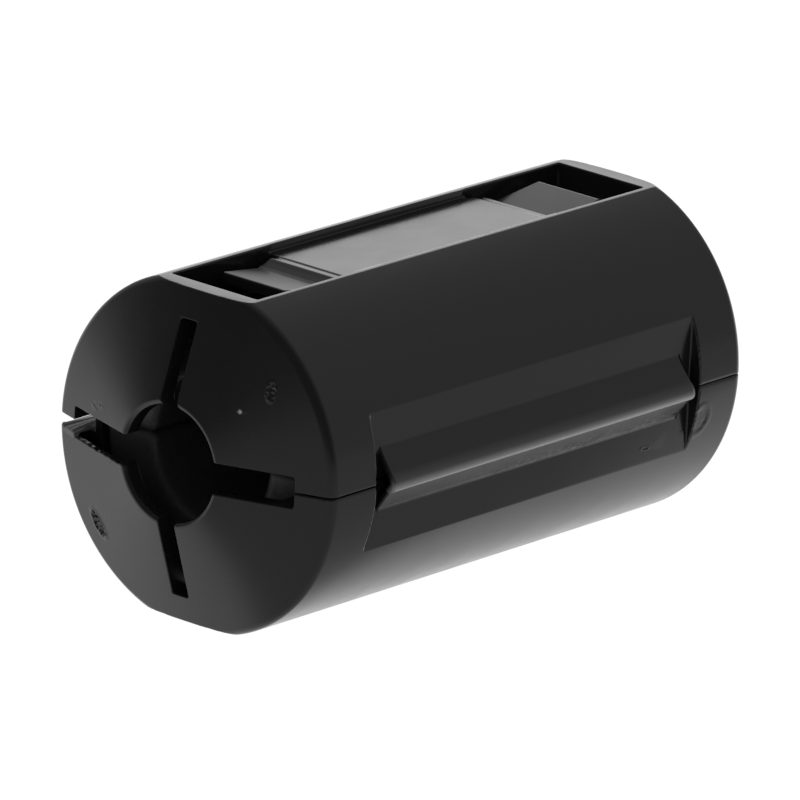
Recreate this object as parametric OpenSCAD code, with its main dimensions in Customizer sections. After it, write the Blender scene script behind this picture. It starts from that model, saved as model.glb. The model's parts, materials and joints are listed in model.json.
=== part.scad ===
// Clip-on ferrite bead for a round cable: two ferrite half cores in a moulded
// case whose halves fold on a living hinge and snap shut round the cable.
// Millimetres. Y runs along the cable, +X is the hinge side and +Z is up.
// The origin is the centre of the cable hole, on the plane where the halves meet.

/* [Ferrite core] */
// Outside diameter of the closed core
core_d = 15.4; // [13:0.1:20]
// Length of the core
core_l = 31.6; // [26:0.1:45]
// Diameter of the hole through the core
core_bore = 8.2; // [7:0.1:9.5]
// Chamfer round the ends of the core and along its split bore
core_chamfer = 0.25; // [0.1:0.05:0.6]
// Radial room between the core and the case
core_clear = 0.2; // [0.1:0.05:0.4]
// Room at each end of the core
core_end_clear = 0.1; // [0.05:0.05:0.4]

/* [Case] */
// Thickness of the round wall
wall = 2.1; // [1.9:0.1:2.8]
// Thickness of the end wall, from the core's pocket to the rim
end_wall = 1.15; // [1:0.05:2.5]
// How far each cone-shaped end face stands out from its rim
nose_l = 2.25; // [1.8:0.05:3.5]
// Rounding of the rim
rim_round = 0.6; // [0.3:0.1:1]
// Depth of the flats on the top and the bottom
flat_depth = 0.6; // [0.4:0.05:0.8]
// Gap between the two halves of the case
parting_gap = 0.15; // [0.05:0.05:0.3]

/* [Cable petals] */
// Diameter of the cable hole between the petals
cable_d = 6.5; // [5:0.1:7]
// Thickness of the petals
petal_t = 1.1; // [0.8:0.1:1.5]
// Rounding of the petals' edge at the cable
lip_round = 0.25; // [0.1:0.05:0.35]
// Width of the upright slots
slot_w = 1.2; // [0.8:0.1:2]
// Height of the level slots, half of it in each half of the case
side_slot_h = 1.75; // [1:0.05:2.4]
// Solid stretch between the end of a slot and the rim
slot_land = 2.2; // [1.8:0.1:2.8]
// The same stretch at the level slot on the latch side
latch_slot_land = 1.6; // [1.3:0.05:2]
// Width of the ledge that stops the end of the core
ledge_w = 1.5; // [1:0.1:2]

/* [Core spring] */
// Width of the window in each flat
window_w = 6.2; // [5.6:0.1:6.4]
// How far the window ends short of the core's pocket
window_inset = 0.05; // [0.05:0.05:2]
// Length of the raised pad that bridges the window
pad_l = 16.4; // [12:0.1:18]
// Depth of the pad below the flat
pad_drop = 0.45; // [0.3:0.05:0.6]
// Height of the pad above the leaves that run out of it
pad_raise = 0.05; // [0.02:0.01:0.2]
// Length of the shelf from the end of the pad to the step
shelf_l = 0.45; // [0.2:0.05:1]
// Slope of the step from the shelf down to a leaf, in degrees
step_slope = 40; // [30:1:55]
// Rounding at the top of the step
step_round = 0.3; // [0.15:0.05:0.35]
// Rounding at the foot of the step
foot_round = 0.15; // [0.05:0.05:0.3]
// Thickness of the pad and the leaves
spring_t = 0.65; // [0.5:0.05:0.75]
// Width of a leaf
leaf_w = 4.7; // [3.5:0.1:5.2]
// Length of a leaf from the foot of the step to its free end
leaf_l = 3.6; // [2.5:0.1:4.2]
// Depth of a leaf's free end below the flat
leaf_tip_drop = 0.4; // [0.3:0.05:0.65]
// Room between a leaf and the core under it
spring_clear = 0.05; // [0.02:0.01:0.1]

/* [Living hinge] */
// Depth of the flat recess that the hinge lies in
hinge_cut = 0.8; // [0.6:0.05:1]
// Solid stretch between the recess and the rim
recess_land = 3.55; // [2:0.05:5]
// How far the ridge of the fold stands out from the recess
fold_out = 1.25; // [1.1:0.05:1.6]
// Height of the fold where it joins the two halves
fold_h = 3.5; // [3:0.1:4.2]
// Open stretch at each end of the fold
fold_gap = 0.95; // [0.5:0.05:2]
// Thickness of the fold's web
web_t = 0.3; // [0.25:0.05:0.5]
// Rounding where the fold runs into the recess
fold_round = 0.7; // [0.3:0.1:1]

/* [Latch] */
// Depth of the flat recess that the latch lies in
latch_cut = 1.05; // [0.8:0.05:1.2]
// Length of the latch tongue along the case
tongue_l = 18; // [10:0.5:24]
// Thickness of the tongue
tongue_t = 0.9; // [0.7:0.05:1.2]
// Height of the tongue's root on the upper half
tongue_root = 3.1; // [2.4:0.1:3.6]
// How far the tongue reaches below the parting plane
tongue_reach = 4.3; // [4.1:0.1:5]
// Rounding of the tongue's outer edge at its free end
tongue_round = 0.35; // [0.15:0.05:0.45]
// Rounding of the two corners of the tongue's free end
corner_round = 1.2; // [0.6:0.1:1.8]
// Height of the catch above its recess
catch_h = 0.4; // [0.3:0.05:0.5]
// Depth of the catch's crest below the parting plane
catch_z = 1.25; // [1:0.05:1.5]
// Length of the ramp below the catch's crest
catch_ramp = 1.75; // [1.5:0.05:2]
// Depth of the hook's tip below the parting plane
hook_z = 3.5; // [3.2:0.05:3.8]
// Room between the hook's path and the catch
latch_clear = 0.06; // [0.04:0.01:0.12]
// Room to pry the halves apart, at each end of the latch side
pry_gap = 0.55; // [0.2:0.05:0.8]

/* [Hidden] */
$fn = 128;

case_colour = "#19191b";
core_colour = "#3b3b3d";

// Overlap that buries a root in the wall it grows from
embed = 0.3;

// Radii about the cable
core_r = core_d / 2;
cavity_r = core_r + core_clear;
body_r = cavity_r + wall;
hole_r = cable_d / 2;
ledge_r = cavity_r - ledge_w;

// Places along the cable
pocket_y = core_l / 2 + core_end_clear;
rim_y = pocket_y + end_wall;
nose_y = rim_y + nose_l;
recess_y = rim_y - recess_land;
window_y = pocket_y - window_inset;
fold_y = recess_y - fold_gap;

// Cone of the end faces: its slope, and its height per unit of thickness
cone_slope = nose_l / (body_r - hole_r);
cone_rise = norm([1, cone_slope]);
cone_angle = atan2(1, cone_slope);

// Levels and places across the cable
flat_z = body_r - flat_depth;
half_gap = parting_gap / 2;
hinge_flat_x = body_r - hinge_cut;
hinge_x = hinge_flat_x + fold_out;
latch_flat_x = body_r - latch_cut;
slot_end = body_r - slot_land;
latch_slot_end = body_r - latch_slot_land;

// Box that is larger than the whole part
reach = 4 * (nose_y + body_r);

// Upper side of the spring: its shelf, the foot of its step and the bow of a leaf
shelf_z = flat_z - pad_drop - pad_raise;
foot_z = core_r + spring_clear + spring_t;
step_y = pad_l / 2 + shelf_l;
step_h = shelf_z - foot_z - (step_round + foot_round) * (1 - cos(step_slope));
foot_y = step_y + (step_round + foot_round) * sin(step_slope) + step_h / tan(step_slope);
leaf_rise = flat_z - leaf_tip_drop - foot_z;
leaf_r = (leaf_l * leaf_l + leaf_rise * leaf_rise) / (2 * leaf_rise);

// Limb of the fold: its outer face runs from the ridge to the recess
fold_root_z = fold_h / 2;
limb_l = norm([fold_out, fold_root_z]);
limb_tilt = atan2(fold_out, fold_root_z);
limb_inner_x = hinge_x - web_t * limb_l / fold_root_z;
limb_inner_z = fold_root_z - web_t * limb_l / fold_out;
limb_run = (fold_out - fold_round * (1 - fold_root_z / limb_l)) * limb_l / fold_out;
fold_round_c = [
    hinge_flat_x + fold_round,
    (fold_root_z * limb_run + fold_out * fold_round) / limb_l
];

// The hook's tip lies on an arc about the hinge that just clears the catch's crest
catch_x = latch_flat_x + catch_h;
latch_arc = norm([hinge_x + catch_x, catch_z]) + latch_clear;
tongue_x = latch_arc - hinge_x;
hook_x = sqrt(latch_arc * latch_arc - hook_z * hook_z) - hinge_x;
tongue_out_x = tongue_x + tongue_t;

// The same points, in the opposite order
function reversed(points) = [for (i = [len(points) - 1:-1:0]) points[i]];

// The same points on the other side of the first axis, in the opposite order
function other_end(points) = [for (p = reversed(points)) [p.x, -p.y]];

// Level of the end face's inner side at radius r
function petal_inner_y(r) = nose_y - cone_slope * (r - hole_r) - petal_t * cone_rise;

// Centre of a rounding of radius f that touches the end face at radius r
function face_round_c(r, f) = [r, nose_y - cone_slope * (r - hole_r) - f * cone_rise];

// Centres of the roundings at the rim and at the cable
rim_c = face_round_c(body_r - rim_round, rim_round);
lip_c = face_round_c(hole_r + lip_round, lip_round);

// One end of the case's section between its roundings, as radius and place along the cable
function end_outline() = let (across_face = [cos(cone_angle), sin(cone_angle)]) [
    [body_r, rim_c.y],
    rim_c + rim_round * across_face,
    lip_c + lip_round * across_face,
    [hole_r, lip_c.y],
    [hole_r, petal_inner_y(hole_r)],
    [ledge_r, petal_inner_y(ledge_r)],
    [ledge_r, pocket_y],
    [cavity_r, pocket_y]
];

// Turns a section of radius and length round the cable
module around_cable() {
    rotate([-90, 0, 0]) rotate_extrude() children();
}

// Stretches a section drawn in X and Z along the cable, both ways from the middle
module along_cable(length) {
    translate([0, length / 2, 0]) rotate([90, 0, 0]) linear_extrude(length) children();
}

// Stretches a section drawn in Y and Z across the cable, both ways from the middle
module across_cable(width) {
    translate([-width / 2, 0, 0]) rotate([90, 0, 90]) linear_extrude(width) children();
}

// Everything above a level
module above(level) {
    translate([-reach / 2, -reach / 2, level]) cube(reach);
}

// Both ends of the cable's direction
module at_both_ends() {
    children();
    mirror([0, 1, 0]) children();
}

// Round case with its cone-shaped ends, hollow for the core
module case_shell() {
    around_cable() {
        polygon(concat(end_outline(), other_end(end_outline())));
        for (end = [1, -1]) {
            translate([rim_c.x, end * rim_c.y]) circle(rim_round);
            translate([lip_c.x, end * lip_c.y]) circle(lip_round);
        }
    }
}

// Slots that divide each end wall into petals, right through to the core's pocket
module petal_slots() {
    slot_depth = nose_y - pocket_y + embed;
    at_both_ends() translate([0, pocket_y, 0]) {
        translate([-slot_w / 2, 0, -slot_end]) cube([slot_w, slot_depth, 2 * slot_end]);
        translate([-latch_slot_end, 0, -side_slot_h / 2])
            cube([latch_slot_end + slot_end, slot_depth, side_slot_h]);
    }
}

// Flat recesses along the sides, for the hinge and for the latch
module side_recesses() {
    translate([hinge_flat_x, -recess_y, -body_r]) cube([body_r, 2 * recess_y, 2 * body_r]);
    translate([-latch_flat_x - body_r, -recess_y, -body_r]) cube([body_r, 2 * recess_y, 2 * body_r]);
}

// Window through the flat, down to the core
module window() {
    floor_z = sqrt(cavity_r * cavity_r - window_w * window_w / 4) - embed;
    translate([-window_w / 2, -window_y, floor_z]) cube([window_w, 2 * window_y, body_r]);
}

// Section of the shelf and its step down to the leaf
module step_section() {
    across_step = [sin(step_slope), cos(step_slope)];
    step_c = [step_y, shelf_z - step_round];
    foot_c = [foot_y, foot_z + foot_round];
    upper_side = [
        [pad_l / 2 - embed, shelf_z],
        [step_y, shelf_z],
        step_c + step_round * across_step,
        foot_c - foot_round * across_step,
        [foot_y, foot_z]
    ];
    lower_side = [for (p = upper_side) p - [0, spring_t]];
    difference() {
        union() {
            polygon(concat(upper_side, reversed(lower_side)));
            translate(step_c) circle(step_round);
        }
        translate(foot_c) circle(foot_round);
    }
}

// Section of a bowed leaf, from the foot of the step to its free end
module leaf_section() {
    overlap = foot_round / 2;
    intersection() {
        difference() {
            translate([foot_y, foot_z - spring_t + leaf_r]) circle(leaf_r);
            translate([foot_y, foot_z + leaf_r]) circle(leaf_r);
        }
        translate([foot_y - overlap, foot_z - spring_t]) square([leaf_l + overlap, 2 * spring_t + leaf_rise]);
    }
}

// Leaf spring in the window: a pad that bridges it, and a leaf at each end
module core_spring() {
    pad_w = window_w + 2 * embed;
    translate([-pad_w / 2, -pad_l / 2, shelf_z - spring_t]) cube([pad_w, pad_l, spring_t + pad_raise]);
    at_both_ends() across_cable(leaf_w) {
        step_section();
        leaf_section();
    }
}

// One limb of the V-shaped living hinge, from the ridge to the recess
module hinge_limb() {
    across_limb = [cos(limb_tilt), sin(limb_tilt)];
    along_cable(2 * fold_y) difference() {
        polygon([
            [limb_inner_x, 0],
            [hinge_x, 0],
            fold_round_c - fold_round * across_limb,
            [hinge_flat_x, fold_round_c.y],
            [hinge_flat_x - embed, fold_round_c.y],
            [hinge_flat_x - embed, limb_inner_z],
            [hinge_flat_x, limb_inner_z]
        ]);
        translate(fold_round_c) circle(fold_round);
    }
}

// One half of the case without its part of the latch, above the parting plane
module case_half() {
    difference() {
        intersection() {
            case_shell();
            above(half_gap);
        }
        above(flat_z);
        window();
        petal_slots();
        side_recesses();
    }
    core_spring();
    hinge_limb();
}

// Outline of the latch tongue seen from its side, with its free end's corners rounded
module tongue_outline() {
    corner_c = [tongue_l / 2 - corner_round, corner_round - tongue_reach];
    across_cable(reach) {
        translate([-tongue_l / 2, corner_c.y]) square([tongue_l, tongue_root - corner_c.y]);
        translate([-corner_c.x, -tongue_reach]) square([2 * corner_c.x, tongue_reach]);
        for (end = [1, -1]) translate([end * corner_c.x, corner_c.y]) circle(corner_round);
    }
}

// Tongue on the upper half that reaches down over the catch, with a hook inside
module latch_tongue() {
    shoulder_z = tongue_root - tongue_t;
    lead_in = tongue_reach - hook_z;
    hook_top_z = hook_z - catch_ramp;
    toe_c = [tongue_round - tongue_out_x, tongue_round - tongue_reach];
    intersection() {
        along_cable(tongue_l) {
            polygon([
                [-latch_flat_x + embed, half_gap],
                [-latch_flat_x + embed, tongue_root],
                [-latch_flat_x, tongue_root],
                [-tongue_out_x, shoulder_z],
                [-tongue_out_x, toe_c.y],
                [toe_c.x, -tongue_reach],
                [-tongue_x, -tongue_reach],
                [-hook_x, -hook_z - lead_in / 4],
                [-hook_x, -hook_z],
                [-tongue_x, -hook_top_z],
                [-tongue_x, half_gap]
            ]);
            translate(toe_c) circle(tongue_round);
        }
        tongue_outline();
    }
}

// Ridge on the lower half that the hook closes over
module latch_catch() {
    crest_z = catch_z - catch_h;
    along_cable(tongue_l) polygon([
        [-latch_flat_x + embed, -half_gap - embed],
        [-latch_flat_x, -half_gap - embed],
        [-catch_x, -crest_z],
        [-catch_x, -catch_z],
        [-latch_flat_x, -catch_z - catch_ramp],
        [-latch_flat_x + embed, -catch_z - catch_ramp]
    ]);
}

// Room for a blade at the ends of the lower half, beside the latch
module pry_notches() {
    at_both_ends() translate([-latch_slot_end - body_r, recess_y, -half_gap - pry_gap])
        cube([body_r, reach, body_r]);
}

// Half of the ferrite tube, above the parting plane
module core_half() {
    end_y = core_l / 2;
    bore_r = core_bore / 2;
    groove = core_chamfer * sqrt(2);
    end_edge = [
        [core_r, end_y - core_chamfer],
        [core_r - core_chamfer, end_y],
        [bore_r + core_chamfer, end_y],
        [bore_r, end_y - core_chamfer]
    ];
    difference() {
        intersection() {
            around_cable() polygon(concat(end_edge, other_end(end_edge)));
            above(0);
        }
        for (side = [1, -1]) translate([side * bore_r, 0, 0]) rotate([0, 45, 0])
            cube([groove, reach, groove], center = true);
    }
}

module lower_case() {
    color(case_colour) union() {
        difference() {
            mirror([0, 0, 1]) case_half();
            pry_notches();
        }
        latch_catch();
    }
}

module upper_case() {
    color(case_colour) union() {
        case_half();
        latch_tongue();
    }
}

module lower_core() {
    color(core_colour) mirror([0, 0, 1]) core_half();
}

module upper_core() {
    color(core_colour) core_half();
}

lower_case();
upper_case();
lower_core();
upper_core();
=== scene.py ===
"""Looks of a clip-on ferrite bead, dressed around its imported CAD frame."""
import json
import math
from collections import namedtuple

import bmesh
import bpy
import numpy as np
from mathutils import Matrix, Vector, noise

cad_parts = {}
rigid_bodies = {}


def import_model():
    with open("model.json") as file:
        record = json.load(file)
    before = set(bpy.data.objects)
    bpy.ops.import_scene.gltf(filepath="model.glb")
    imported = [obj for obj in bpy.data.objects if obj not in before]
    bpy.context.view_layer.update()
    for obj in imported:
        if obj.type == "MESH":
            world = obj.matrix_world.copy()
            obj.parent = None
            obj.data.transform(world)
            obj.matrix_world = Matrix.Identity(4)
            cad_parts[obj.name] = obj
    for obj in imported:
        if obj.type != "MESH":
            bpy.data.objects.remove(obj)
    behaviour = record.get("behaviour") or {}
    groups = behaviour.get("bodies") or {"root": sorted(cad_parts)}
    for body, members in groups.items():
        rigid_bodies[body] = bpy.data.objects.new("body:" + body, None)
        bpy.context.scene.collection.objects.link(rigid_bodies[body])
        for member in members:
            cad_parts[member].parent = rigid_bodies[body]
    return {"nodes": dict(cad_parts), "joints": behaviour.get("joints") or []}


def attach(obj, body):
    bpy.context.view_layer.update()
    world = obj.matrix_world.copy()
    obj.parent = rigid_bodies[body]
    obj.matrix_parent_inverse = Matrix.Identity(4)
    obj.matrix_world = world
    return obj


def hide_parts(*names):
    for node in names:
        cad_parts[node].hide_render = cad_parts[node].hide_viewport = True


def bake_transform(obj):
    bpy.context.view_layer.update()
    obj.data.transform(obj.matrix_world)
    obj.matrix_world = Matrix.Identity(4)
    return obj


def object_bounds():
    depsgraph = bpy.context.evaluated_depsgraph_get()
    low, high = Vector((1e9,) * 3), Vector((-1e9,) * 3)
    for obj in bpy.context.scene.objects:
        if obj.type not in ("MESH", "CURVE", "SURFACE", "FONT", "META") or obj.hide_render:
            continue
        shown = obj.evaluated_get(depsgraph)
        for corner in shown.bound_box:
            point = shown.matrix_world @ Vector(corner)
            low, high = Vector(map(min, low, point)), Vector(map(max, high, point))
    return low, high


for old in list(bpy.data.objects):
    bpy.data.objects.remove(old)
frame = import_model()
cad_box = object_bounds()
scene = bpy.context.scene

MM = 0.001
NODES = frame["nodes"]

# Camera, fitted to the photograph's 800 by 800 frame
FRAME_PX = 800
FOCAL_PX = 11713.2
SENSOR_MM = 36.0
CAMERA_AZIMUTH = math.radians(40.510)
CAMERA_ELEVATION = math.radians(17.750)
CAMERA_ROLL = math.radians(2.739)
CAMERA_DISTANCE = 644.48 * MM
CAMERA_SLIDE = (-0.187 * MM, -0.394 * MM)
CLIP_NEAR = 0.01
CLIP_FAR = 10.0

# Meshes of the moulded and fired pieces: grids in millimetres, steps, limits and cuts
CASE_VOXEL = 0.07
CASE_SOFTEN = 1
CORE_VOXEL = 0.17
CORE_SOFTEN = 3
WORN_SOFTEN = 14
SOFTEN_FACTOR = 0.5
FACE_LIMIT = 150000
WELD_METRES = 1e-7
SLIVER = 0.003
MARK_CUTS = 1
LAND_CUTS = 1
SPECK_CUTS = 2

# Margins in millimetres: beside an edge, for a point on an exact surface, and against division by zero
EDGE = 0.1
EXACT = 0.004
TINY = 1e-6

# Living hinge, in millimetres, with the same sizes as the CAD model's fold
HINGE_X = frame["joints"][0]["pos_m"][0] / MM
FOLD_OUT = 1.25
FOLD_HALF = 1.75
FOLD_Y = 12.55
FOLD_TILT = math.atan2(FOLD_OUT, FOLD_HALF)
WEB_T = 0.3
RECESS_X = HINGE_X - FOLD_OUT
ROOT_ROUND = 0.6
BEAD_ROUND = 0.42
BEAD_TOP_ROUND = 0.8
BEAD_Z = -0.15
BEAD_START = -math.pi / 2 + 0.1
WEB_EMBED = 0.06
WEB_SKIN = 0.003
WEB_FEATHER = 0.25
WEB_END = 0.02
FEATHER_ROOM = 0.2

# Fineness of the web: where its limbs start, and points on limbs, roots, bead, crown and along the fold
LIMB_START = 0.35
LIMB_STEPS = 16
ROOT_STEPS = 8
BEAD_STEPS = 14
CROWN_STEPS = 8
WEB_ROWS = 161

# Roughness of the web's lower limb, and a painted highlight along its ridge; pairs are the start and end of
# a change
ROUGH_Z = (-0.55, -0.68)
ROUGH_X = (RECESS_X + 0.01, RECESS_X + 0.12)
TORN_Y = (-9.0, 4.0)
TORN_Z = (-1.0, -1.5)
RIPPLE_PER_MM = (2.0, 1.3, 2.5)
RIPPLE_HEIGHT = 0.012
WEB_GRIT_PER_MM = (5.0, 4.0, 6.0)
WEB_GRIT_HEIGHT = 0.08
# Painted highlight: the crown and bead of the ridge are painted pale where the ridge catches the light
CROWN_PAINTED_HIGHLIGHT = 0.12
CROWN_PAINTED_HIGHLIGHT_Z = (0.6, 0.05)
BEAD_PAINTED_HIGHLIGHT = 0.78
BEAD_PAINTED_HIGHLIGHT_Z = (0.15, -0.4)
PAINTED_HIGHLIGHT_END_Z = (-0.61, -0.55)
TORN_PALE = 0.5

# Core spring, in millimetres, at the same places as the CAD model's
PAD_END = 8.2
STEP_Y = 8.65
FOOT_Y = 9.41
TIP_Y = 13.0
LEAF_HALF = 2.35
LEAF_RISE = 0.6
LEAF_LIFT = 0.1
LEAF_WIDEN = 0.12
LEAF_TAPER = 0.22
FOOT_Z = 8.4
FOOT_LIFT = 0.12
NEAR_FOOT_OUT = 0.3
FAR_TIP_OUT = 0.2
PAD_Z = 8.95
PAD_STRETCH = 0.35
PAD_STRETCH_Y = (PAD_END - 2.0, PAD_END - 0.2)
PAD_CORNER = 0.6
PAD_CORNER_X = -2.3
PAD_CORNER_WIDE = 0.8
PAD_CORNER_LONG = 1.2
WINDOW_HALF = 3.1
WINDOW_Y = 15.85
WINDOW_EASE = 0.2
SPRING_LOW = 7.95

# Margins about the spring, in millimetres
LEAF_MARGIN = 0.3
LEAF_CATCH = 0.05
TAPER_MARGIN = 0.4
SPRING_MARGIN = 0.4
CORNER_CATCH = 0.12
WALL_SIDE = 0.15
WALL_INNER = 0.3
WALL_OUTER = 0.8
PAD_MARGIN = 0.4
LEAF_ROOM = 0.4
STEP_ROOM = 0.5
FOOT_ROOM = 0.3

# Round wall, end cones and recess, in millimetres, as in the CAD model
BODY_R = 10.0
HOLE_R = 3.25
NOSE_Y = 19.3
FLAT_Z = 9.4
CONE_SLOPE = 2.25 / (BODY_R - HOLE_R)
RIM_Y = 16.62
RECESS_Y = 13.5
RIM_ROUND = 0.6
RIM_FLANK = math.radians(70.0)
NOTCH_X = -8.4
NOTCH_Z = -0.625
SIDE_SLOT_Z = -0.875

# Margins about the wall, cones, rims and recess, in millimetres
WALL_CATCH = 0.02
CONE_CATCH = 0.04
CONE_RIM = 0.65
CONE_NOSE = 0.3
RECESS_CATCH = 0.15
WORN_REACH = 0.7
WORN_DEEP = 0.35
WORN_Z = (0.25, 4.4)

# Least dot products of normals that count as alike: wall, cones and rims, and then single uses
ROUND_ALIKE = (0.985, 0.93, 0.9)
PRESS_ALIKE = 0.6
LEAF_ALIKE = 0.8
SHADE_ALIKE = 0.9
AXIS_ALIKE = 0.9995

# Parting and top slot, in millimetres; pairs are the start and end of a change
PARTING_CLOSE = 0.05
PARTING_Z = (0.3, 0.12)
PARTING_X = (-8.0, -7.0)
BLOCK_CLOSE = 0.015
BLOCK_Y = (RECESS_Y - 0.3, RECESS_Y)
SLOT_ASIDE = 0.2
SLOT_X = (1.6, 0.8)
SLOT_Y = (15.6, 15.9)
SLOT_LOW_Z = (3.0, 3.8)
SLOT_HIGH_Z = (9.0, 8.4)

# Marks of moulding and handling, in millimetres; length_way is the direction of the length
Mark = namedtuple("Mark", "place length_way half_length half_width depth rim grit")
MARKS = {
    "lower": (
        Mark((-6.25, -17.66, -5.30), (-0.65, 0.0, 0.76), 0.85, 0.42, 0.07, 0.025, 0.16),
        Mark((9.73, 13.90, -2.15), (0.0, 0.5, 1.0), 0.95, 0.75, 0.05, 0.02, 0.01),
        Mark((9.20, 9.95, -3.06), (0.0, 1.0, -0.1), 0.32, 0.09, 0.03, 0.02, 0.0),
    ),
    "upper": (
        Mark((5.87, -17.76, 5.22), (0.0, 0.0, 1.0), 0.55, 0.30, 0.01, 0.02, 0.10),
        Mark((-6.50, -18.15, 1.50), (0.9, 0.0, -0.3), 0.45, 0.09, -0.02, 0.0, 0.03),
        Mark((-5.85, -18.36, 1.68), (1.0, 0.0, 0.0), 0.38, 0.08, -0.015, 0.0, 0.03),
    ),
}
SPECK = (4.33, -18.45, 3.86)
SPECK_REACH = 0.5
SPECK_FADE = (0.14, 0.06)

# Form of a mark: shares of its half length or outline, depth in millimetres and grains to the millimetre
MARK_ROOM = 1.6
MARK_REACH = 1.7
PRESS_REACH = 1.8
PRESS_DEEP = 0.4
MARK_RIM_AT = 1.05
MARK_RIM_WIDE = 0.2
PIT_FADE = (1.0, 0.6)
GRIT_FADE = (1.1, 0.85)
GRIT_PER_MM = 5.0

# Torn land and lip beside the latch's slot: places and heights in millimetres, grains to the millimetre
LAND_PLACE = (-9.2, -16.0, NOTCH_Z)
LAND_REACH = 2.2
LAND_CATCH = 0.12
LAND_COARSE = 0.16
LAND_COARSE_PER_MM = 2.2
LAND_FINE = 0.06
LAND_FINE_PER_MM = 7.0
LIP_Y = -16.8
LIP_CATCH = 0.15
LIP_TEAR = 0.06
LIP_PER_MM = 2.5
LIP_DRAWN = (1, 0.3, 0.3)

# How dull and how pale the parts of the case are, and where
END_DULL = 0.35
END_DULL_Y = (16.6, 17.0)
END_DULL_RADIUS = (10.0, 9.8)
LEAF_DULL = 1.0
LEAF_PALE = 0.17
LEAF_DULL_LOW = 0.2
LAND_DULL = 1.3
LAND_PALE = 0.4
LAND_PALE_CATCH = 0.3
SCUFF_PALE = 0.08
SCUFF_CORE = 0.4
DULL_ROUGHNESS = 0.2

# Colours of plastic, ferrite, floor and studio
PLASTIC_BLACK = (0.0100, 0.0100, 0.0105, 1)
PLASTIC_PALE = (0.36, 0.36, 0.36, 1)
FERRITE_DARK = (0.026, 0.026, 0.027, 1)
FERRITE_LIGHT = (0.042, 0.042, 0.041, 1)
FLOOR_PALE = (0.9, 0.9, 0.9, 1)
WHITE = (1, 1, 1, 1)

# Relief of the materials and size of the floor in metres, and brightness of floor and studio
WAVE_RELIEF = 0.003 * MM
GRAIN_RELIEF = 0.0008 * MM
FERRITE_RELIEF = 0.0012 * MM
PLASTIC_IOR = 1.5
FLOOR_SIZE = 3.0
FLOOR_ROUGHNESS = 0.8
FLOOR_TO_CAMERA = 1.105
FLOOR_GLOW_SHARE = 0.9
STUDIO_DIFFUSE = 0.55
STUDIO_TO_CAMERA = 1.0

# Outlines in X and Y with their heights: the room of the folded web, and the hollow behind the slot's lip
FOLD_ROOM_OUT = HINGE_X + 1.0
FOLD_ROOM = (
    (RECESS_X, -FOLD_Y - EDGE),
    (FOLD_ROOM_OUT, -FOLD_Y - EDGE),
    (FOLD_ROOM_OUT, FOLD_Y + EDGE),
    (RECESS_X, FOLD_Y + EDGE),
)
FOLD_ROOM_Z = (-3.0, 3.0)
LATCH_HOLLOW = ((-8.9, -17.0), (-3.6, -18.7), (-3.6, -15.9), (-8.9, -15.9))
LATCH_HOLLOW_Z = (-2.2, -0.8)


def link(name, data):
    """A new object in the scene."""
    made = bpy.data.objects.new(name, data)
    scene.collection.objects.link(made)
    return made


def bake_modifiers(piece):
    """Puts the modifiers' result into the piece's own mesh."""
    graph = bpy.context.evaluated_depsgraph_get()
    mesh = bpy.data.meshes.new_from_object(piece.evaluated_get(graph))
    piece.modifiers.clear()
    piece.data = mesh


def welded_copy(node):
    """A closed copy of a CAD node's mesh, in millimetres."""
    work = bmesh.new()
    work.from_mesh(NODES[node].data)
    bmesh.ops.remove_doubles(work, verts=work.verts, dist=WELD_METRES)
    bmesh.ops.scale(work, vec=Vector((1 / MM,) * 3), verts=work.verts)
    mesh = bpy.data.meshes.new(node + "_copy")
    work.to_mesh(mesh)
    work.free()
    return mesh


def cut_prism(piece, outline, low, high):
    """Takes an upright prism out of a piece; outline goes round it in X and Y, low and high are heights."""
    count = len(outline)
    points = [(x, y, z) for z in (low, high) for x, y in outline]
    faces = [tuple(range(count))[::-1], tuple(range(count, 2 * count))]
    for i in range(count):
        after = (i + 1) % count
        faces.append((i, after, count + after, count + i))
    mesh = bpy.data.meshes.new("cutter")
    mesh.from_pydata(points, [], faces)
    cutter = link("cutter", mesh)
    cut = piece.modifiers.new("cut", "BOOLEAN")
    cut.operation = "DIFFERENCE"
    cut.solver = "EXACT"
    cut.object = cutter
    bake_modifiers(piece)
    bpy.data.objects.remove(cutter)


def get_points(piece):
    """The piece's points as rows of X, Y and Z."""
    points = np.empty(len(piece.data.vertices) * 3)
    piece.data.vertices.foreach_get("co", points)
    return points.reshape(-1, 3)


def set_points(piece, points):
    """Moves the piece's points to rows of X, Y and Z."""
    piece.data.vertices.foreach_set("co", points.ravel())
    piece.data.update()


def vertex_normals(piece):
    """The piece's normals as rows of X, Y and Z, one for each point."""
    normals = np.empty(len(piece.data.vertices) * 3)
    piece.data.vertex_normals.foreach_get("vector", normals)
    return normals.reshape(-1, 3)


def distances(points, place):
    """How far each of some points is from a place."""
    return np.linalg.norm(points - np.array(place), axis=1)


def group_points(piece, name, chosen):
    """Puts the points that chosen picks into a vertex group."""
    group = piece.vertex_groups.new(name=name)
    group.add(np.flatnonzero(chosen(get_points(piece))).tolist(), 1.0, "REPLACE")


def add_softening(piece, steps):
    """A modifier that eases the piece's edges."""
    soften = piece.modifiers.new("soften", "SMOOTH")
    soften.factor = SOFTEN_FACTOR
    soften.iterations = steps
    return soften


def soften_edges(piece, voxel, steps):
    """Rebuilds a piece on a fine grid and eases its edges, as moulding and firing do."""
    grid = piece.modifiers.new("grid", "REMESH")
    grid.mode = "VOXEL"
    grid.voxel_size = voxel
    add_softening(piece, steps)
    bake_modifiers(piece)


def wear_down(piece, worn):
    """Eases the edges more at the points that worn picks."""
    group_points(piece, "worn", worn)
    add_softening(piece, WORN_SOFTEN).vertex_group = "worn"
    bake_modifiers(piece)
    piece.vertex_groups.clear()


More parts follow.
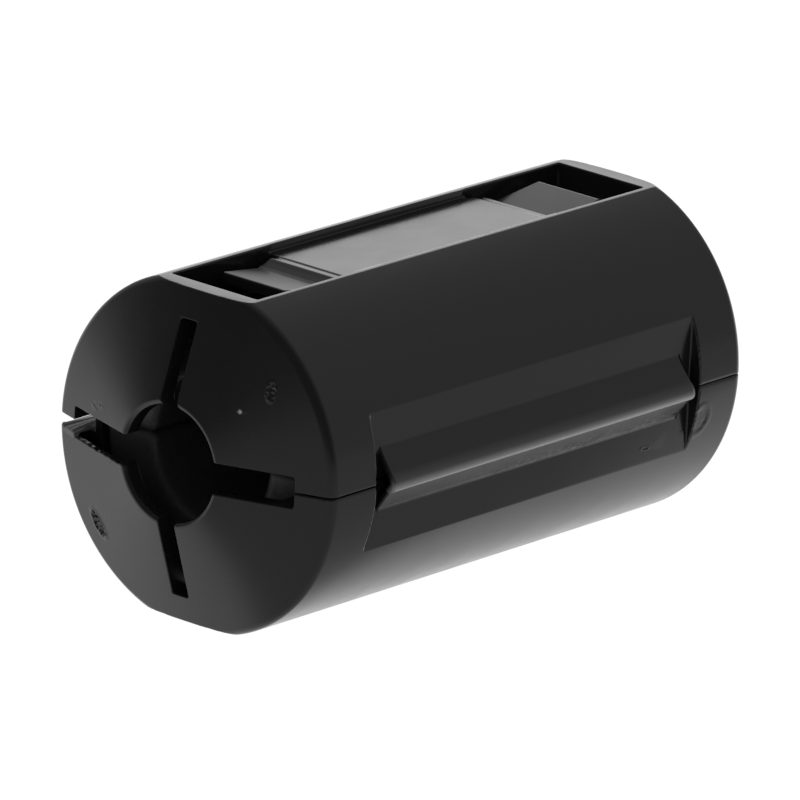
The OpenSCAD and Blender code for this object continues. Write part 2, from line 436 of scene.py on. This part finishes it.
def thin_out(piece, kept):
    """Merges faces until a piece of squares is light enough, away from the points that kept picks."""
    triangles = len(piece.data.polygons) * 2
    if triangles > FACE_LIMIT:
        group_points(piece, "kept", kept)
        thin = piece.modifiers.new("thin", "DECIMATE")
        thin.ratio = FACE_LIMIT / triangles
        thin.vertex_group = "kept"
        thin.invert_vertex_group = True
        bake_modifiers(piece)
        piece.vertex_groups.clear()


def to_metres(piece):
    """Scales a piece that was made in millimetres, and lets its large faces lead the shading."""
    piece.data.transform(Matrix.Scale(MM, 4))
    piece.data.shade_smooth()
    piece.modifiers.new("shading", "WEIGHTED_NORMAL")
    bake_modifiers(piece)


def store(mesh, name, values):
    """Keeps one number for each point, which the plastic reads by its name."""
    made = mesh.attributes.new(name, "FLOAT", "POINT")
    made.data.foreach_set("value", np.asarray(values, dtype=np.float32))


def smooth_step(start, end, value):
    """Rises smoothly from 0 at start to 1 at end."""
    share = np.clip((value - start) / (end - start), 0.0, 1.0)
    return share * share * (3 - 2 * share)


def shape_spring(piece, up):
    """Straightens the leaves of the core spring and eases its pad and window; up is 1 or -1."""
    points = get_points(piece)
    x, y, z = points[:, 0], points[:, 1], points[:, 2] * up
    aside = np.abs(x)
    away = np.abs(y)
    about_leaf = (aside < LEAF_HALF + LEAF_MARGIN) & (away < TIP_Y + LEAF_MARGIN)
    inside = about_leaf & (away > STEP_Y) & (z > SPRING_LOW - SPRING_MARGIN)
    share = np.clip((away - FOOT_Y) / (TIP_Y - FOOT_Y), 0.0, 1.0)
    z = z + np.where(inside, (LEAF_RISE + LEAF_LIFT) * share - LEAF_RISE * share ** 2, 0.0)
    plane = FOOT_Z + (LEAF_RISE + LEAF_LIFT) * share
    on_top = inside & (away > FOOT_Y + EDGE) & (np.abs(z - plane) < LEAF_CATCH)
    z = np.where(on_top, plane, z)
    foot = smooth_step(STEP_Y + EDGE, FOOT_Y, away) * (1 - share)
    z = z + np.where(inside & (y < 0), FOOT_LIFT * foot, 0.0)

    # The pad and the window's walls meet in a sharp corner
    over_pad = (aside < WINDOW_HALF + EDGE) & (away < PAD_END - EDGE) & (z > PAD_Z - EDGE)
    low = z - PAD_Z
    wide = WINDOW_HALF - aside
    z = np.where(over_pad & (low < CORNER_CATCH) & (low <= wide), PAD_Z, z)
    new_x = np.where(over_pad & (wide < CORNER_CATCH) & (wide < low), np.sign(x) * WINDOW_HALF, x)

    # The leaves taper on one side, and the near step and the far tip reach further out
    taper_start = STEP_Y - TAPER_MARGIN
    taper = 1 + smooth_step(taper_start, STEP_Y, away) * (LEAF_WIDEN - LEAF_TAPER * share)
    strip = about_leaf & (away > taper_start) & (z > SPRING_LOW - SPRING_MARGIN)
    new_x = np.where(strip & (x < 0), new_x * taper, new_x)
    new_y = y + np.where(inside & (y < 0), -NEAR_FOOT_OUT * foot, 0.0)
    new_y = new_y + np.where(inside & (y > 0), FAR_TIP_OUT * share, 0.0)

    # The window's ends stand a little further out
    wall = (aside < WINDOW_HALF + WALL_SIDE) & (z > SPRING_LOW + EDGE)
    near_wall = smooth_step(WINDOW_Y - WALL_INNER, WINDOW_Y - EDGE, away)
    near_wall = near_wall * smooth_step(WINDOW_Y + WALL_OUTER, WINDOW_Y + WINDOW_EASE, away)
    new_y = new_y + np.where(wall, WINDOW_EASE * near_wall * np.sign(y), 0.0)

    # The pad's far end reaches further, with one rounded corner
    pad_end = (aside < WINDOW_HALF + EDGE) & (z > SPRING_LOW) & (y > 0) & (y < FOOT_Y + PAD_MARGIN)
    stretch = PAD_STRETCH * smooth_step(*PAD_STRETCH_Y, y)
    stretch = stretch * smooth_step(FOOT_Y + LEAF_MARGIN, STEP_Y, y)
    corner = np.clip((PAD_CORNER_X - x) / PAD_CORNER_WIDE, 0.0, 1.0) ** 2 * PAD_CORNER
    corner = corner * smooth_step(PAD_END - PAD_CORNER_LONG, PAD_END - EDGE, y)
    new_y = new_y + np.where(pad_end, stretch - corner, 0.0)
    set_points(piece, np.stack((new_x, new_y, z * up), 1))


def spring_leaves(points):
    """Says which points are on the leaves of the core spring."""
    x, y, z = np.abs(points).T
    lengthwise = (y > STEP_Y - STEP_ROOM) & (y < TIP_Y + LEAF_ROOM)
    return lengthwise & (x < LEAF_HALF + LEAF_ROOM) & (z > FOOT_Z - FOOT_ROOM)


def kept_fine(marks):
    """Says which points are on the spring's leaves or about some marks."""
    def near_marks(points):
        picked = spring_leaves(points)
        for mark in marks:
            picked |= distances(points, mark.place) < MARK_ROOM * mark.half_length
        return picked
    return near_marks


def leaf_tops(points, up):
    """Normals of the leaves' flat tops at some points, and which of the points are on them."""
    x, y, z = points[:, 0], points[:, 1], points[:, 2] * up
    near = y < 0
    start = FOOT_Y + np.where(near, NEAR_FOOT_OUT, 0.0)
    end = TIP_Y + np.where(near, 0.0, FAR_TIP_OUT)
    low = FOOT_Z + np.where(near, FOOT_LIFT, 0.0)
    slope = (FOOT_Z + LEAF_RISE + LEAF_LIFT - low) / (end - start)
    off = z - low - slope * (np.abs(y) - start)
    on_top = spring_leaves(points) & (np.abs(off) < EXACT) & (np.abs(y) > start + EDGE)
    normals = np.stack((0 * x, -slope * np.sign(y), 0 * x + up), 1)
    return normals / np.hypot(1, slope)[:, None], on_top


def exact_surfaces(points):
    """Normals at some points, distances off and a choice of points, for three exact surfaces.

    They are the round wall, the end cones and the rims between these.
    """
    x, y, z = points.T
    flat = np.zeros_like(x)
    below_flat = np.abs(z) < FLAT_Z - EDGE
    radius = np.maximum(np.hypot(x, z), TINY)
    radial = np.stack((x / radius, flat, z / radius), 1)
    rise = math.hypot(1, CONE_SLOPE)
    cone = (radial * CONE_SLOPE + np.stack((flat, np.sign(y), flat), 1)) / rise
    off_cone = (np.abs(y) + CONE_SLOPE * (radius - HOLE_R) - NOSE_Y) / rise
    on_wall = (np.abs(radius - BODY_R) < WALL_CATCH) & (np.abs(y) < RIM_Y) & below_flat
    on_cone = (radius < BODY_R - CONE_RIM) & (radius > HOLE_R + CONE_NOSE)
    on_cone &= np.abs(off_cone) < CONE_CATCH
    from_rim = np.stack((radius - (BODY_R - RIM_ROUND), np.abs(y) - RIM_Y), 1)
    reach = np.maximum(np.hypot(from_rim[:, 0], from_rim[:, 1]), TINY)
    turn = np.arctan2(from_rim[:, 1], from_rim[:, 0])
    rim = radial * np.cos(turn)[:, None] + np.stack((flat, np.sin(turn) * np.sign(y), flat), 1)
    on_rim = (np.abs(reach - RIM_ROUND) < CONE_CATCH) & (turn > 0) & (turn < RIM_FLANK) & below_flat
    return (
        (radial, radius - BODY_R, on_wall),
        (cone, off_cone, on_cone),
        (rim, reach - RIM_ROUND, on_rim & ~on_wall & ~on_cone),
    )


def make_round(piece):
    """Puts the points of the round wall, the end cones and the rims exactly on them."""
    points = get_points(piece)
    normals = vertex_normals(piece)
    for (exact, off, chosen), least in zip(exact_surfaces(points), ROUND_ALIKE):
        chosen &= (normals * exact).sum(1) > least
        points -= np.where(chosen, off, 0.0)[:, None] * exact
    set_points(piece, points)


def shape_case(piece, up):
    """Sharpens the recess's inner corners, nearly closes the parting and sets the top slot aside.

    The number up is 1 for the upper half and -1 for the lower one.
    """
    points = get_points(piece)
    high = points[:, 0] - RECESS_X
    short = RECESS_Y - np.abs(points[:, 1])
    corner = (np.abs(high) < RECESS_CATCH) & (np.abs(short) < RECESS_CATCH)
    corner &= np.hypot(points[:, 0], points[:, 2]) < BODY_R - EDGE
    points[corner & (high <= short), 0] = RECESS_X
    walls = corner & (high > short)
    points[walls, 1] = np.sign(points[walls, 1]) * RECESS_Y
    x, y, z = points[:, 0].copy(), points[:, 1], points[:, 2] * up
    closing = PARTING_CLOSE + BLOCK_CLOSE * smooth_step(*BLOCK_Y, y)
    close = closing * smooth_step(*PARTING_Z, z) * smooth_step(*PARTING_X, x)
    points[:, 2] -= close * up
    if up > 0:
        slot = smooth_step(*SLOT_X, np.abs(x)) * smooth_step(*SLOT_LOW_Z, z)
        slot = slot * smooth_step(*SLOT_Y, np.abs(y))
        points[:, 0] -= SLOT_ASIDE * slot * smooth_step(*SLOT_HIGH_Z, z)
    set_points(piece, points)


def worn_recess(upper):
    """Says which points are near the softer edges of the hinge's recess."""
    def near_edges(points):
        x, y, z = points.T
        far_edge = np.abs(y - RECESS_Y) < WORN_REACH
        near_edge = np.abs(y + RECESS_Y) < WORN_REACH
        picked = far_edge | near_edge if upper else far_edge
        outer = (np.hypot(x, z) > BODY_R - WORN_DEEP) & (x > RECESS_X + RECESS_CATCH)
        return picked & outer & (np.abs(z) > WORN_Z[0]) & (np.abs(z) < WORN_Z[1])
    return near_edges


def refine(piece, spots):
    """Divides the faces about some spots, so that small marks can be pressed in.

    A spot is a place with its reach and the number of cuts.
    """
    work = bmesh.new()
    work.from_mesh(piece.data)
    bmesh.ops.dissolve_degenerate(work, dist=SLIVER, edges=work.edges)
    for place, reach, cuts in spots:
        place = Vector(place)
        near = [e for e in work.edges if all((v.co - place).length < reach for v in e.verts)]
        bmesh.ops.subdivide_edges(work, edges=near, cuts=cuts, use_grid_fill=True)
    bmesh.ops.triangulate(work, faces=[f for f in work.faces if len(f.verts) > 4])
    work.to_mesh(piece.data)
    work.free()


def grit_at(points, per_mm):
    """A fixed noise value for each of some points."""
    return np.array([noise.noise(Vector(point) * per_mm) for point in points])


def press_marks(piece, marks):
    """Presses small pits with raised rims into a piece."""
    points = get_points(piece)
    normals = vertex_normals(piece)
    for place, length_way, half_length, half_width, depth, rim, grit in marks:
        offset = points - np.array(place)
        nearest = np.argmin((offset ** 2).sum(1))
        out = normals[nearest]
        along = np.array(length_way) - out * np.dot(out, length_way)
        along /= np.linalg.norm(along)
        across = np.cross(out, along)
        rho = np.hypot(offset @ along / half_length, offset @ across / half_width)
        close = (rho < PRESS_REACH) & (np.abs(offset @ out) < PRESS_DEEP)
        near = np.flatnonzero(close & (normals @ out > PRESS_ALIKE))
        rho = rho[near]
        height = rim * np.exp(-((rho - MARK_RIM_AT) / MARK_RIM_WIDE) ** 2)
        height = height - depth * smooth_step(*PIT_FADE, rho)
        if grit:
            height += grit * grit_at(points[near], GRIT_PER_MM) * smooth_step(*GRIT_FADE, rho)
        points[near] += height[:, None] * out
    set_points(piece, points)


def beside_slot(points, catch):
    """Says which points are on the land beside the latch's slot, within a height."""
    x, y, z = points.T
    return (x < NOTCH_X + EDGE) & (y < -RECESS_Y - EDGE) & (np.abs(z - NOTCH_Z) < catch)


def tear_notch(piece):
    """Roughens the land beside the latch's slot and the slot's lower edge, as a torn moulding is."""
    points = get_points(piece)
    land = np.flatnonzero(beside_slot(points, LAND_CATCH))
    coarse = LAND_COARSE * grit_at(points[land], LAND_COARSE_PER_MM)
    points[land, 2] += coarse + LAND_FINE * grit_at(points[land], LAND_FINE_PER_MM)
    x, y, z = points.T
    on_lip = (x > NOTCH_X) & (x < -HOLE_R) & (y < LIP_Y) & (np.abs(z - SIDE_SLOT_Z) < LIP_CATCH)
    lip = np.flatnonzero(on_lip)
    points[lip, 2] += LIP_TEAR * grit_at(points[lip] * LIP_DRAWN, LIP_PER_MM)
    set_points(piece, points)


def finish_of_case(piece, up):
    """Stores how pale and how dull each point of a case half is."""
    points = get_points(piece)
    x, y, z = points[:, 0], points[:, 1], points[:, 2] * up
    radius = np.hypot(x, z)
    dull = END_DULL * smooth_step(*END_DULL_Y, np.abs(y)) * smooth_step(*END_DULL_RADIUS, radius)
    leaf = (np.abs(x) < LEAF_HALF + LEAF_ROOM) & (y < -FOOT_Y) & (y > -TIP_Y - LEAF_ROOM)
    leaf &= (z > SPRING_LOW + LEAF_DULL_LOW) & (vertex_normals(piece)[:, 2] * up > LEAF_ALIKE)
    dull = np.where(leaf, LEAF_DULL, dull)
    wear_and_painted_highlight = np.where(leaf, LEAF_PALE, 0.0)
    if up < 0:
        land = beside_slot(points, LAND_PALE_CATCH)
        dull = np.where(land, LAND_DULL, dull)
        wear_and_painted_highlight = np.where(land, LAND_PALE, wear_and_painted_highlight)
    else:
        wear_and_painted_highlight = np.maximum(wear_and_painted_highlight, smooth_step(*SPECK_FADE, distances(points, SPECK)))
        for mark in MARKS["upper"][1:]:
            half_length = mark.half_length
            scuff = smooth_step(half_length, SCUFF_CORE * half_length, distances(points, mark.place))
            wear_and_painted_highlight = np.maximum(wear_and_painted_highlight, SCUFF_PALE * scuff)
    store(piece.data, "wear_and_painted_highlight", wear_and_painted_highlight)
    store(piece.data, "dull", dull)


def corner_shading(piece):
    """The shading normal of each point of a smooth piece, and the point at each corner of its faces."""
    mesh = piece.data
    corner_normals = np.empty(len(mesh.loops) * 3)
    mesh.corner_normals.foreach_get("vector", corner_normals)
    owner = np.empty(len(mesh.loops), dtype=np.int32)
    mesh.loops.foreach_get("vertex_index", owner)
    normals = np.zeros((len(mesh.vertices), 3))
    normals[owner] = corner_normals.reshape(-1, 3)
    return normals, owner


def true_shading(piece, up):
    """Shades the wall, cones, rims, leaves and flat faces as exact surfaces, and the rest smoothly."""
    mesh = piece.data
    points = get_points(piece) / MM
    normals, owner = corner_shading(piece)
    surfaces = [(exact, chosen & (np.abs(off) < EXACT)) for exact, off, chosen in exact_surfaces(points)]
    surfaces.append(leaf_tops(points, up))
    known = np.zeros(len(points), dtype=bool)
    for exact, chosen in surfaces:
        chosen &= (normals * exact).sum(1) > SHADE_ALIKE
        normals[chosen] = exact[chosen]
        known |= chosen
    face_normals = np.empty(len(mesh.polygons) * 3)
    mesh.polygon_normals.foreach_get("vector", face_normals)
    face_normals = face_normals.reshape(-1, 3)
    corners = np.empty(len(mesh.polygons), dtype=np.int32)
    mesh.polygons.foreach_get("loop_total", corners)
    face = np.repeat(np.arange(len(corners)), corners)
    curved = np.zeros(len(corners), dtype=bool)
    np.logical_or.at(curved, face, known[owner])
    flat = ((np.abs(face_normals).max(1) > AXIS_ALIKE) & ~curved)[face]
    shading = normals[owner]
    shading[flat] = face_normals[face[flat]]
    mesh.normals_split_custom_set(shading)


def make_camera():
    """Camera at the photograph's viewpoint."""
    back = Vector((
        math.sin(CAMERA_AZIMUTH) * math.cos(CAMERA_ELEVATION),
        -math.cos(CAMERA_AZIMUTH) * math.cos(CAMERA_ELEVATION),
        math.sin(CAMERA_ELEVATION),
    ))
    level = Vector((0, 0, 1)).cross(back).normalized()
    upright = back.cross(level)
    right = level * math.cos(CAMERA_ROLL) + upright * math.sin(CAMERA_ROLL)
    up = upright * math.cos(CAMERA_ROLL) - level * math.sin(CAMERA_ROLL)
    place = back * CAMERA_DISTANCE + right * CAMERA_SLIDE[0] + up * CAMERA_SLIDE[1]
    data = bpy.data.cameras.new("camera")
    data.sensor_width = SENSOR_MM
    data.lens = FOCAL_PX / FRAME_PX * SENSOR_MM
    data.clip_start = CLIP_NEAR
    data.clip_end = CLIP_FAR
    camera = link("camera", data)
    turn = Matrix((right, up, back)).transposed().to_4x4()
    camera.matrix_world = Matrix.Translation(place) @ turn
    scene.camera = camera


class Nodes:
    """Short way to add and join the nodes of one material or world."""

    def __init__(self, owner):
        owner.use_nodes = True
        self.tree = owner.node_tree

    def get(self, name):
        """A node that is there already."""
        return self.tree.nodes[name]

    def add(self, kind, inputs=None, **settings):
        """A node with its settings, and its inputs given as values or as other nodes' outputs."""
        made = self.tree.nodes.new("ShaderNode" + kind)
        for key, value in settings.items():
            setattr(made, key, value)
        self.feed(made, inputs or {})
        return made

    def feed(self, target, inputs):
        """Sets a node's inputs to values, or joins them to other nodes' outputs."""
        for key, value in inputs.items():
            if isinstance(value, bpy.types.NodeSocket):
                self.tree.links.new(value, target.inputs[key])
            else:
                target.inputs[key].default_value = value

    def math(self, operation, first, second):
        """The result of a sum, a product or the like."""
        return self.add("Math", {0: first, 1: second}, operation=operation).outputs[0]

    def mix(self, share, first, second, kind):
        """A mixture of two numbers or colours."""
        inputs = {"Factor": share, "A": first, "B": second}
        return self.add("Mix", inputs, data_type=kind).outputs["Result"]

    def ramp(self, value, low, high, to_low, to_high):
        """A smooth step of a value from one range to another."""
        inputs = {"Value": value, "From Min": low, "From Max": high, "To Min": to_low, "To Max": to_high}
        return self.add("MapRange", inputs, interpolation_type="SMOOTHSTEP").outputs["Result"]

    def along(self, vector, direction):
        """How far a vector reaches in a direction."""
        inputs = {0: vector, 1: direction}
        return self.add("VectorMath", inputs, operation="DOT_PRODUCT").outputs["Value"]

    def rise(self, vector, direction, low, high):
        """A smooth step from 0 to 1 as a vector reaches further in a direction."""
        return self.ramp(self.along(vector, direction), low, high, to_low=0.0, to_high=1.0)

    def place_mm(self):
        """Place on the object, in millimetres."""
        coordinates = self.add("TexCoord").outputs["Object"]
        return self.add("VectorMath", {0: coordinates, "Scale": 1 / MM}, operation="SCALE").outputs["Vector"]

    def noise(self, place, per_mm, detail):
        """Cloudy noise with so many grains to the millimetre."""
        inputs = {"Vector": place, "Scale": per_mm, "Detail": detail}
        return self.add("TexNoise", inputs).outputs["Fac"]

    def bump(self, height, relief, **under):
        """A relief of so many metres, over another one where that is given."""
        inputs = {"Strength": 1.0, "Distance": relief, "Height": height, **under}
        return self.add("Bump", inputs).outputs["Normal"]


def make_plastic():
    """Black moulded nylon: a soft gloss with faint waves and grain, pale where it is scuffed or torn, with a
    painted highlight along the hinge's ridge.
    """
    material = bpy.data.materials.new("case_plastic")
    nodes = Nodes(material)
    place = nodes.place_mm()
    # The pale mix carries scuffs, torn spots, a speck and pale leaf tops, and also a painted highlight along
    # the hinge's ridge
    wear_and_painted_highlight = nodes.add("Attribute", attribute_name="wear_and_painted_highlight").outputs["Fac"]
    dull = nodes.add("Attribute", attribute_name="dull").outputs["Fac"]
    waves = nodes.bump(nodes.noise(place, per_mm=0.35, detail=2.0), WAVE_RELIEF)
    grain = nodes.bump(nodes.noise(place, per_mm=6.0, detail=3.0), GRAIN_RELIEF, Normal=waves)
    clouds = nodes.noise(place, per_mm=0.5, detail=3.0)
    gloss = nodes.ramp(clouds, low=0.3, high=0.7, to_low=0.19, to_high=0.23)
    nodes.feed(nodes.get("Principled BSDF"), {
        "Base Color": nodes.mix(wear_and_painted_highlight, PLASTIC_BLACK, PLASTIC_PALE, "RGBA"),
        "Roughness": nodes.math("ADD", gloss, nodes.math("MULTIPLY", dull, DULL_ROUGHNESS)),
        "IOR": PLASTIC_IOR,
        "Normal": grain,
    })
    return material


def make_ferrite():
    """Fired ferrite: dark grey, dull and finely grained."""
    material = bpy.data.materials.new("ferrite")
    nodes = Nodes(material)
    place = nodes.place_mm()
    grains = nodes.noise(place, per_mm=9.0, detail=4.0)
    speckle = nodes.ramp(grains, low=0.35, high=0.7, to_low=0.0, to_high=1.0)
    clouds = nodes.noise(place, per_mm=0.8, detail=3.0)
    nodes.feed(nodes.get("Principled BSDF"), {
        "Base Color": nodes.mix(speckle, FERRITE_DARK, FERRITE_LIGHT, "RGBA"),
        "Roughness": nodes.ramp(clouds, low=0.3, high=0.7, to_low=0.42, to_high=0.58),
        "Normal": nodes.bump(nodes.noise(place, per_mm=7.0, detail=4.0), FERRITE_RELIEF),
    })
    return material


def make_floor():
    """Pale sheet under the bead: white to the camera, brighter on the lamp's side in reflections."""
    low = cad_box[0].z
    corners = [(x * FLOOR_SIZE, y * FLOOR_SIZE, low) for x, y in ((-1, -1), (1, -1), (1, 1), (-1, 1))]
    mesh = bpy.data.meshes.new("floor")
    mesh.from_pydata(corners, [], [(0, 1, 2, 3)])
    floor = link("floor", mesh)
    material = bpy.data.materials.new("floor")
    nodes = Nodes(material)
    shader = nodes.get("Principled BSDF")
    nodes.feed(shader, {"Base Color": FLOOR_PALE, "Roughness": FLOOR_ROUGHNESS})
    place = nodes.place_mm()
    lit = nodes.rise(place, direction=(-0.94, 0.34, 0.0), low=-14.5, high=-8.5)
    behind = nodes.rise(place, direction=(-0.8, 0.6, 0.0), low=-18.0, high=-12.0)
    front = nodes.rise(place, direction=(0.0, 1.0, 0.0), low=-90.0, high=-30.0)
    bright = nodes.math("MULTIPLY", nodes.math("MULTIPLY", lit, behind), front)
    mirrored = nodes.ramp(bright, low=0.0, high=1.0, to_low=0.43, to_high=1.08)
    path = nodes.add("LightPath").outputs
    strength = nodes.mix(path["Is Camera Ray"], mirrored, FLOOR_TO_CAMERA, "FLOAT")
    glow = nodes.add("Emission", {"Strength": strength})
    seen = nodes.math("MAXIMUM", path["Is Camera Ray"], path["Is Glossy Ray"])
    seen = nodes.math("MAXIMUM", seen, path["Is Transmission Ray"])
    mix = nodes.add("MixShader", {
        "Fac": nodes.math("MULTIPLY", seen, FLOOR_GLOW_SHARE),
        1: shader.outputs["BSDF"],
        2: glow.outputs["Emission"],
    })
    nodes.feed(nodes.get("Material Output"), {"Surface": mix.outputs["Shader"]})
    mesh.materials.append(material)


def make_world():
    """Dim studio, darker on the camera's side."""
    world = bpy.data.worlds.new("studio")
    scene.world = world
    nodes = Nodes(world)
    toward = nodes.add("TexCoord").outputs["Generated"]
    depth = nodes.along(toward, direction=(-0.35, 0.94, 0.0))
    dim = nodes.ramp(depth, low=-0.5, high=0.45, to_low=0.06, to_high=0.35)
    path = nodes.add("LightPath").outputs
    soft = nodes.mix(path["Is Diffuse Ray"], dim, STUDIO_DIFFUSE, "FLOAT")
    strength = nodes.mix(path["Is Camera Ray"], soft, STUDIO_TO_CAMERA, "FLOAT")
    nodes.feed(nodes.get("Background"), {"Color": WHITE, "Strength": strength})


def area_light(name, toward, distance, width, height, radiance):
    """A soft rectangular light that faces the origin from the given direction."""
    data = bpy.data.lights.new(name, "AREA")
    data.shape = "RECTANGLE"
    data.size = width
    data.size_y = height
    data.energy = radiance * width * height * math.pi
    lamp = link(name, data)
    lamp.location = Vector(toward).normalized() * distance
    lamp.rotation_mode = "QUATERNION"
    lamp.rotation_quaternion = Vector(toward).to_track_quat("Z", "Y")


def on_circle(radius, angle):
    """Place on a circle about the origin, as X and height."""
    return radius * np.array((math.cos(angle), math.sin(angle)))


def limb_side():
    """Outer side of a limb of the fold, from near its ridge to its root, as rows of X and height."""
    limb = math.hypot(FOLD_OUT, FOLD_HALF)
    run = (FOLD_OUT - ROOT_ROUND * (1 - math.cos(FOLD_TILT))) * limb / FOLD_OUT
    root = np.array((RECESS_X + ROOT_ROUND, (FOLD_HALF * run + FOLD_OUT * ROOT_ROUND) / limb))
    foot = root - on_circle(ROOT_ROUND, FOLD_TILT)
    top = np.array((HINGE_X, 0.0))
    side = [top + (foot - top) * share for share in np.linspace(LIMB_START, 1, LIMB_STEPS)]
    for angle in np.linspace(FOLD_TILT, 0, ROOT_STEPS)[1:]:
        side.append(root - on_circle(ROOT_ROUND, angle))
        side[-1][0] += WEB_SKIN
    for climb in (0.5, 1.0):
        side.append(np.array((RECESS_X + WEB_SKIN, root[1] + climb * WEB_FEATHER)))
    side.append(np.array((RECESS_X - WEB_EMBED, root[1] + WEB_FEATHER + WEB_END)))
    return side


def fold_section():
    """Outer and inner side of the folded web, from the lower root over the ridge to the upper root."""
    bead = np.array((HINGE_X - BEAD_ROUND, BEAD_Z))
    crown = np.array((HINGE_X - BEAD_TOP_ROUND, BEAD_Z))
    ridge = [bead + on_circle(BEAD_ROUND, angle) for angle in np.linspace(BEAD_START, 0, BEAD_STEPS)]
    for angle in np.linspace(0, FOLD_TILT, CROWN_STEPS)[1:]:
        ridge.append(crown + on_circle(BEAD_TOP_ROUND, angle))
    upper = limb_side()
    lower = [point * (1, -1) for point in upper]
    outer = lower[::-1] + ridge + upper
    inner_x = HINGE_X - WEB_T / math.cos(FOLD_TILT)
    inner_z = FOLD_HALF - WEB_T / math.sin(FOLD_TILT)
    steep = inner_z / (inner_x - RECESS_X)
    end_x = RECESS_X - WEB_EMBED
    inner = []
    for share in np.linspace(-1, 1, len(outer)):
        x = inner_x + (end_x - inner_x) * abs(share)
        inner.append(np.array((x, math.copysign((inner_x - x) * steep, share))))
    return outer, inner


def make_hinge_web():
    """The thin folded web that joins the halves, with a bead along its ridge, a painted highlight on that
    ridge and a rough lower limb.
    """
    outer, inner = fold_section()
    rows = np.linspace(-FOLD_Y, FOLD_Y, WEB_ROWS)
    across = len(outer)
    points = []
    wear_and_painted_highlight = []
    dull = []
    for y in rows:
        for x, z in outer:
            place = np.array((x, y, z))
            rough = smooth_step(*ROUGH_Z, z) * smooth_step(*ROUGH_X, x)
            torn = rough * smooth_step(*TORN_Y, y) * smooth_step(*TORN_Z, z)
            ripple = noise.noise(Vector(place * RIPPLE_PER_MM))
            grit = noise.noise(Vector(place * WEB_GRIT_PER_MM))
            points.append((x + RIPPLE_HEIGHT * rough * ripple + WEB_GRIT_HEIGHT * torn * grit, y, z))
            # The pale band over the crown and bead is a painted highlight along the ridge; the pale grains
            # on the torn limb are wear
            pale = CROWN_PAINTED_HIGHLIGHT * smooth_step(*CROWN_PAINTED_HIGHLIGHT_Z, z) + BEAD_PAINTED_HIGHLIGHT * smooth_step(*BEAD_PAINTED_HIGHLIGHT_Z, z)
            wear_and_painted_highlight.append(pale * smooth_step(*PAINTED_HIGHLIGHT_END_Z, z) + TORN_PALE * torn * max(0.0, grit))
            dull.append(rough)
        for x, z in inner:
            points.append((x, y, z))
            wear_and_painted_highlight.append(0.0)
            dull.append(0.0)
    faces = []
    ring = 2 * across
    for row in range(len(rows) - 1):
        for i in range(across - 1):
            a = row * ring + i
            b = a + across
            faces.append((a, a + 1, a + 1 + ring, a + ring))
            faces.append((b + 1, b, b + ring, b + 1 + ring))
        first = row * ring
        last = first + across - 1
        faces.append((first + across, first, first + ring, first + across + ring))
        faces.append((last, last + across, last + across + ring, last + ring))
    far = (len(rows) - 1) * ring
    for i in range(across - 1):
        b = i + across
        faces.append((i, b, b + 1, i + 1))
        faces.append((far + i + 1, far + b + 1, far + b, far + i))
    mesh = bpy.data.meshes.new("hinge_web")
    mesh.from_pydata(points, [], [face[::-1] for face in faces])
    store(mesh, "wear_and_painted_highlight", wear_and_painted_highlight)
    store(mesh, "dull", dull)
    return link("hinge_web", mesh)


def feather_web(piece):
    """Lets the thin edges of the hinge's web run into the recess's flat without a line."""
    normals = corner_shading(piece)[0]
    points = get_points(piece) / MM
    edge = (points[:, 0] < RECESS_X + 2 * WEB_SKIN) & (np.abs(points[:, 2]) > FOLD_HALF - FEATHER_ROOM)
    normals[edge] = (1.0, 0.0, 0.0)
    piece.data.normals_split_custom_set_from_vertices(normals)


make_camera()
make_world()
make_floor()
area_light("back_light", (-0.617, 0.724, 0.27), distance=0.35, width=0.20, height=0.20, radiance=1.28)

plastic = make_plastic()
ferrite = make_ferrite()
for node in ("lower_case", "upper_case"):
    NODES[node].data.materials[0] = plastic
for node in ("lower_core", "upper_core"):
    NODES[node].data.materials[0] = ferrite

for half in ("lower", "upper"):
    up = 1 if half == "upper" else -1
    shell = link(half + "_shell", welded_copy(half + "_case"))
    cut_prism(shell, FOLD_ROOM, *FOLD_ROOM_Z)
    if half == "lower":
        cut_prism(shell, LATCH_HOLLOW, *LATCH_HOLLOW_Z)
    soften_edges(shell, CASE_VOXEL, CASE_SOFTEN)
    wear_down(shell, worn_recess(half == "upper"))
    shape_spring(shell, up)
    shape_case(shell, up)
    thin_out(shell, kept_fine(MARKS[half]))
    make_round(shell)
    spots = [(mark.place, MARK_REACH * mark.half_length, MARK_CUTS) for mark in MARKS[half]]
    if half == "upper":
        spots.append((SPECK, SPECK_REACH, SPECK_CUTS))
    else:
        spots.append((LAND_PLACE, LAND_REACH, LAND_CUTS))
    refine(shell, spots)
    press_marks(shell, MARKS[half])
    if half == "lower":
        tear_notch(shell)
    finish_of_case(shell, up)
    to_metres(shell)
    true_shading(shell, up)
    shell.data.materials.clear()
    shell.data.materials.append(plastic)
    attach(shell, half + "_half")
    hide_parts(half + "_case")

    core = link(half + "_ferrite", welded_copy(half + "_core"))
    soften_edges(core, CORE_VOXEL, CORE_SOFTEN)
    thin_out(core, spring_leaves)
    to_metres(core)
    core.data.materials.clear()
    core.data.materials.append(ferrite)
    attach(core, half + "_half")
    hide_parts(half + "_core")

web = make_hinge_web()
to_metres(web)
feather_web(web)
web.data.materials.append(plastic)
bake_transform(web)

scene.view_settings.view_transform = "Standard"
